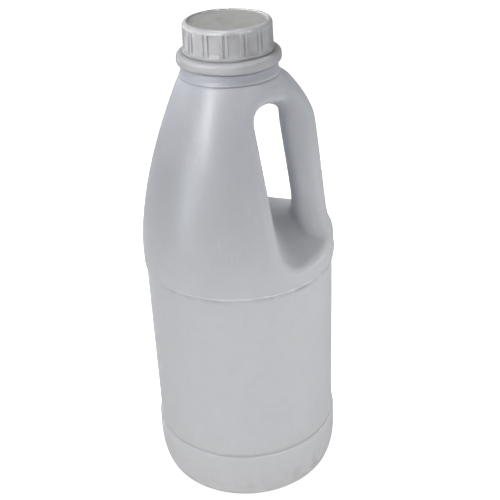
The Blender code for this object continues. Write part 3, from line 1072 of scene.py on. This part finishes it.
def ring_material(finish):
    """White polyethylene, softly polished by handling, with dirt against the cap."""
    material, tree, shader, place = start_material("ring_polyethylene")
    skin = use_group(tree, moulded_skin_group, "moulded_skin", Vector=place,
                     Grain_Scale=1600.0, Wave_Scale=70.0, Wave_Amount=0.4)
    x, y, z = tree.split(place)
    radius = tree.radius(x, y)
    inner = tree.maths("MULTIPLY", tree.step(radius, 0.0275, 0.0252), 0.8)
    # Darker in patches along the ring's lowest edge as well.
    under = tree.step(z, RING_LOW.z + 0.0016, RING_LOW.z + 0.0002, 0.0, 0.5)
    mask = tree.maths("MAXIMUM", inner, under)
    dirt = use_group(tree, grime_group, "grime", Vector=place, Mask=mask, Speck_Scale=1500.0,
                     Patch_Scale=110.0, Specks=0.05)
    dull = [value * 0.92 for value in finish.ring]
    base = tree.mix(tree.step(skin["Mottle"], 0.35, 0.7), colour(finish.ring), colour(dull))
    stained = tree.mix(tree.maths("MULTIPLY", dirt["Amount"], 0.6), base, colour(finish.grime))
    tree.join(stained, shader.inputs["Base Color"])
    tree.join(tree.step(skin["Scuffs"], 0.0, 1.0, 0.28, 0.5), shader.inputs["Roughness"])
    bumped(tree, shader, skin["Height"], 0.25, 0.0004)
    shader.inputs["IOR"].default_value = 1.5
    return material


def liner_material(finish):
    """Closed-cell foam with a fine pore pattern."""
    material, tree, shader, place = start_material("liner_foam")
    cells = tree.add("ShaderNodeTexVoronoi")
    tree.join(place, cells.inputs["Vector"])
    cells.inputs["Scale"].default_value = 2600.0
    pores = tree.step(cells.outputs["Distance"], 0.1, 0.6)
    dull = [value * 0.86 for value in finish.liner]
    base = tree.mix(pores, colour(finish.liner), colour(dull))
    tree.join(base, shader.inputs["Base Color"])
    tree.join(tree.step(pores, 0.0, 1.0, 0.6, 0.8), shader.inputs["Roughness"])
    bumped(tree, shader, pores, 0.3, 0.0002)
    return material


def floor_material():
    material, tree, shader, place = start_material("pale_floor")
    tone = tree.noise(place, 3.0, 2.0)
    base = tree.mix(tone, (0.88, 0.88, 0.88, 1.0), (0.92, 0.92, 0.92, 1.0))
    path = tree.add("ShaderNodeLightPath").outputs
    # Painted shade in reflections: for glossy rays the floor turns dark grey, so the bottle mirrors
    # a darker floor and its sides look darker.
    base = tree.mix(path["Is Glossy Ray"], base, (0.30, 0.30, 0.31, 1.0))
    tree.join(base, shader.inputs["Base Color"])
    tree.join(path["Is Camera Ray"], shader.inputs["Emission Color"])
    shader.inputs["Emission Strength"].default_value = 0.6
    shader.inputs["Roughness"].default_value = 0.9
    shader.inputs["Specular IOR Level"].default_value = 0.1
    return material


# ------------------------------------------------------------ stage

def add_camera(studio):
    deselect()
    bpy.ops.object.camera_add()
    camera = bpy.context.object
    camera.name = "bottle_camera"
    facing = (Matrix.Rotation(-studio.heading, 4, "Z")
              @ Matrix.Rotation(pi / 2 - studio.pitch, 4, "X")
              @ Matrix.Rotation(studio.roll, 4, "Z"))
    camera.matrix_world = Matrix.Translation(studio.camera_place) @ facing
    camera.data.sensor_width = 36.0
    camera.data.lens = studio.lens
    camera.data.clip_start = 0.01
    camera.data.clip_end = 50.0
    bpy.context.scene.camera = camera


def add_panel_light(name, height, azimuth, elevation, distance, size, spread, power, tint, mirrored):
    """A rectangular light facing the bottle's axis, seen as a reflection only or not at all."""
    deselect()
    target = Vector((0.0, 0.0, height))
    away = Vector((sin(azimuth) * cos(elevation), -cos(azimuth) * cos(elevation), sin(elevation)))
    bpy.ops.object.light_add(type="AREA", location=target + away * distance)
    light = bpy.context.object
    light.name = name
    light.rotation_euler = away.to_track_quat("Z", "Y").to_euler()
    light.visible_diffuse = not mirrored
    light.visible_transmission = not mirrored
    light.visible_glossy = mirrored
    light.data.shape = "RECTANGLE"
    light.data.size = size[0]
    light.data.size_y = size[1]
    light.data.spread = spread
    light.data.energy = power
    light.data.color = tint


def set_sky(strength):
    """Even pale light from all round, weaker from straight above and behind."""
    world = bpy.data.worlds.new("studio_sky")
    bpy.context.scene.world = world
    world.use_nodes = True
    tree = Tree(world.node_tree)
    background = world.node_tree.nodes["Background"]
    direction = tree.add("ShaderNodeTexCoord").outputs["Generated"]
    x, y, z = tree.split(direction)
    lift = tree.step(z, -0.1, 0.9, 1.06, 0.74)
    side = tree.step(x, -0.6, 0.9, 1.04, 0.86)
    level = tree.maths("MULTIPLY", tree.maths("MULTIPLY", lift, side), strength)
    path = tree.add("ShaderNodeLightPath").outputs
    behind = tree.step(y, 0.0, 0.6, 1.0, 0.45)
    in_mirror = tree.maths("MULTIPLY", tree.maths("MULTIPLY", level, behind), path["Is Glossy Ray"])
    elsewhere = tree.maths("SUBTRACT", 1.0, path["Is Glossy Ray"])
    level = tree.maths("MULTIPLY_ADD", level, elsewhere, in_mirror)
    tree.join(tree.maths("MAXIMUM", level, path["Is Camera Ray"]), background.inputs["Strength"])
    background.inputs["Color"].default_value = (1.0, 1.0, 1.0, 1.0)


WHITE = (1.0, 1.0, 1.0)
COOL = (0.76, 0.83, 1.0)
OPEN = pi
NARROW = radians(16.0)
# name, height aimed at, azimuth, elevation, distance, size, spread, power, tint, reflection only
PANEL_LIGHTS = (
    ("side_key", 0.325, radians(-68.0), radians(38.0), 0.6, (0.1, 0.1), NARROW, 0.076, WHITE, False),
    ("low_front", 0.09, radians(-18.0), 0.0, 0.45, (0.16, 0.12), OPEN, 0.6, WHITE, False),
    ("pocket_fill", 0.17, radians(74.0), 0.0, 0.42, (0.2, 0.2), OPEN, 0.5, WHITE, False),
    ("gap_fill", 0.20, radians(-150.0), radians(8.0), 0.50, (0.2, 0.2), OPEN, 1.8, WHITE, False),
    ("tall_strip", 0.15, radians(-53.0), radians(26.0), 1.2, (0.22, 0.30), OPEN, 7.0, WHITE, True),
    ("cool_strip", 0.15, radians(-70.0), radians(4.0), 1.2, (0.22, 0.40), OPEN, 3.5, COOL, True),
)


class BOTTLE_OT_stage(bpy.types.Operator):
    """Lays the pale floor and sets the camera, the sky and the soft lights"""

    bl_idname = "calf_bottle.stage"
    bl_label = "Stage"

    def execute(self, context):
        studio = context.scene.bottle_studio
        context.scene.view_settings.view_transform = "Standard"
        deselect()
        bpy.ops.mesh.primitive_plane_add(size=12.0, location=(0.0, 0.0, -0.0002))
        floor = settle(context.object)
        floor.name = "pale_floor"
        floor.data.materials.append(floor_material())
        add_camera(studio)
        set_sky(studio.sky)
        for panel in PANEL_LIGHTS:
            add_panel_light(*panel)
        return {"FINISHED"}


class BOTTLE_PT_panel(bpy.types.Panel):
    """Lists the bottle's pieces and their settings."""

    bl_idname = "BOTTLE_PT_panel"
    bl_label = "Calf Bottle"
    bl_space_type = "VIEW_3D"
    bl_region_type = "UI"
    bl_category = "Calf Bottle"

    def draw(self, context):
        layout = self.layout
        for settings, kind in SETTINGS.items():
            group = getattr(context.scene, settings)
            box = layout.box()
            for name in kind.__annotations__:
                box.prop(group, name)
        for operator in PIECE_OPERATORS:
            layout.operator(operator.bl_idname)


PIECE_OPERATORS = (
    BOTTLE_OT_shell,
    BOTTLE_OT_neck_ring,
    BOTTLE_OT_liner,
    BOTTLE_OT_cap,
    BOTTLE_OT_stage,
)
SETTINGS = {
    "bottle_shape": BottleShape,
    "closure_shape": ClosureShape,
    "bottle_finish": BottleFinish,
    "bottle_studio": StudioSettings,
}


def register():
    for name, group in SETTINGS.items():
        bpy.utils.register_class(group)
        setattr(bpy.types.Scene, name, bpy.props.PointerProperty(type=group))
    for kind in (*PIECE_OPERATORS, BOTTLE_PT_panel):
        bpy.utils.register_class(kind)


def unregister():
    for kind in (BOTTLE_PT_panel, *reversed(PIECE_OPERATORS)):
        bpy.utils.unregister_class(kind)
    for name, group in SETTINGS.items():
        delattr(bpy.types.Scene, name)
        bpy.utils.unregister_class(group)


def main():
    register()
    bpy.ops.calf_bottle.shell()
    bpy.ops.calf_bottle.neck_ring()
    bpy.ops.calf_bottle.liner()
    bpy.ops.calf_bottle.cap()
    bpy.ops.calf_bottle.stage()
    deselect()


if __name__ == "__main__":
    main()
